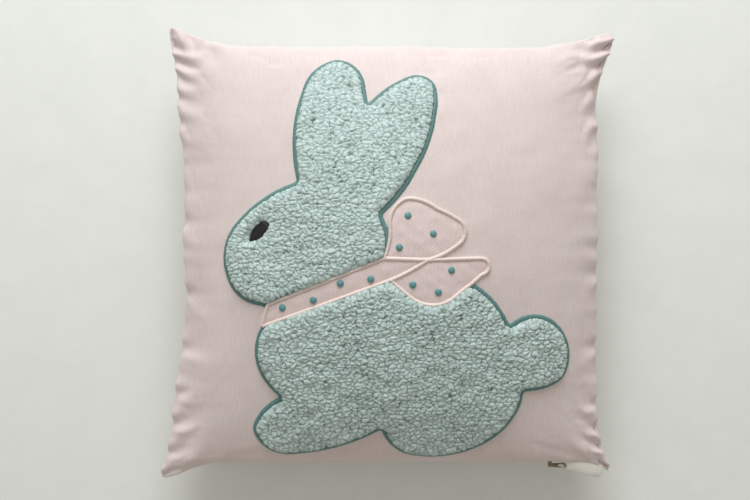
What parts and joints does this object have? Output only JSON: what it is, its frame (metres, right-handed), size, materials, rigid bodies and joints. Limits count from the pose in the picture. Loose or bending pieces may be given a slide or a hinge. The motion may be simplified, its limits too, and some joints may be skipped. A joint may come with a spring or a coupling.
{
  "type": "throw cushion with rabbit applique",
  "caption": "Square filled throw cushion lying on its back, with a fleece rabbit applique, an embroidered ribbon, a seam label and a concealed zip.",
  "frame": {"origin": "middle of the flat patch of the back that the cushion rests on", "axes": "+Z out of the rabbit's side, through the filling; +Y towards the rabbit's ears; +X along the zipped side, towards the rabbit's tail"},
  "size_m": [0.442, 0.4445, 0.1275],
  "materials": {
    "cover_cloth": "plain woven cotton blend, dusty pink",
    "seam_thread": "spun polyester thread, dusty pink",
    "casing_cloth": "white nonwoven casing",
    "filling_fibre": "hollow polyester fibre",
    "backing_nonwoven": "tear-away embroidery backing",
    "fleece": "curly teddy fleece, mint green",
    "teal_thread": "rayon satin stitch, teal",
    "ribbon_cloth": "woven cotton, dusty pink",
    "cream_thread": "corded satin stitch, cream pink",
    "black_thread": "rayon satin stitch, black",
    "zip_tape": "woven polyester tape",
    "zip_coil": "nylon monofilament coil",
    "zip_metal": "dark bronze lacquer",
    "label_ribbon": "woven satin ribbon, off white"
  },
  "bodies": {
    "root": {"front_panel": "cover_cloth", "back_panel": "cover_cloth", "edge_seam_thread": "seam_thread", "insert_casing": "casing_cloth", "insert_filling": "filling_fibre", "applique_backing": "backing_nonwoven", "head_applique": "fleece", "body_applique": "fleece", "head_outline": "teal_thread", "body_outline": "teal_thread", "neck_band": "ribbon_cloth", "bow_loop": "ribbon_cloth", "bow_tail": "ribbon_cloth", "ribbon_cord": "cream_thread", "ribbon_dots": "teal_thread", "eye": "black_thread", "zip_tape_front": "zip_tape", "zip_tape_back": "zip_tape", "zip_coil_front": "zip_coil", "zip_coil_back": "zip_coil", "zip_stops": "zip_metal"},
    "slider": {"zip_slider": "zip_metal"},
    "pull": {"zip_pull": "zip_metal"},
    "label": {"label": "label_ribbon"}
  },
  "joints": [
    {"name": "zip_slide", "type": "slide", "parent": "root", "child": "slider", "axis": [-1, 0, 0], "range_m": [0, 0.3159]},
    {"name": "pull_swing", "type": "hinge", "parent": "slider", "child": "pull", "pos_m": [0.15795, -0.208, 0.056], "axis": [0, 0, -1], "range_deg": [0, 180]},
    {"name": "label_flap", "type": "hinge", "parent": "root", "child": "label", "pos_m": [0.19298, -0.20964, 0.056], "axis": [0.9692, -0.2464, 0], "range_deg": [-55, 55], "stiffness_Nm_per_rad": 0.0002}
  ]
}
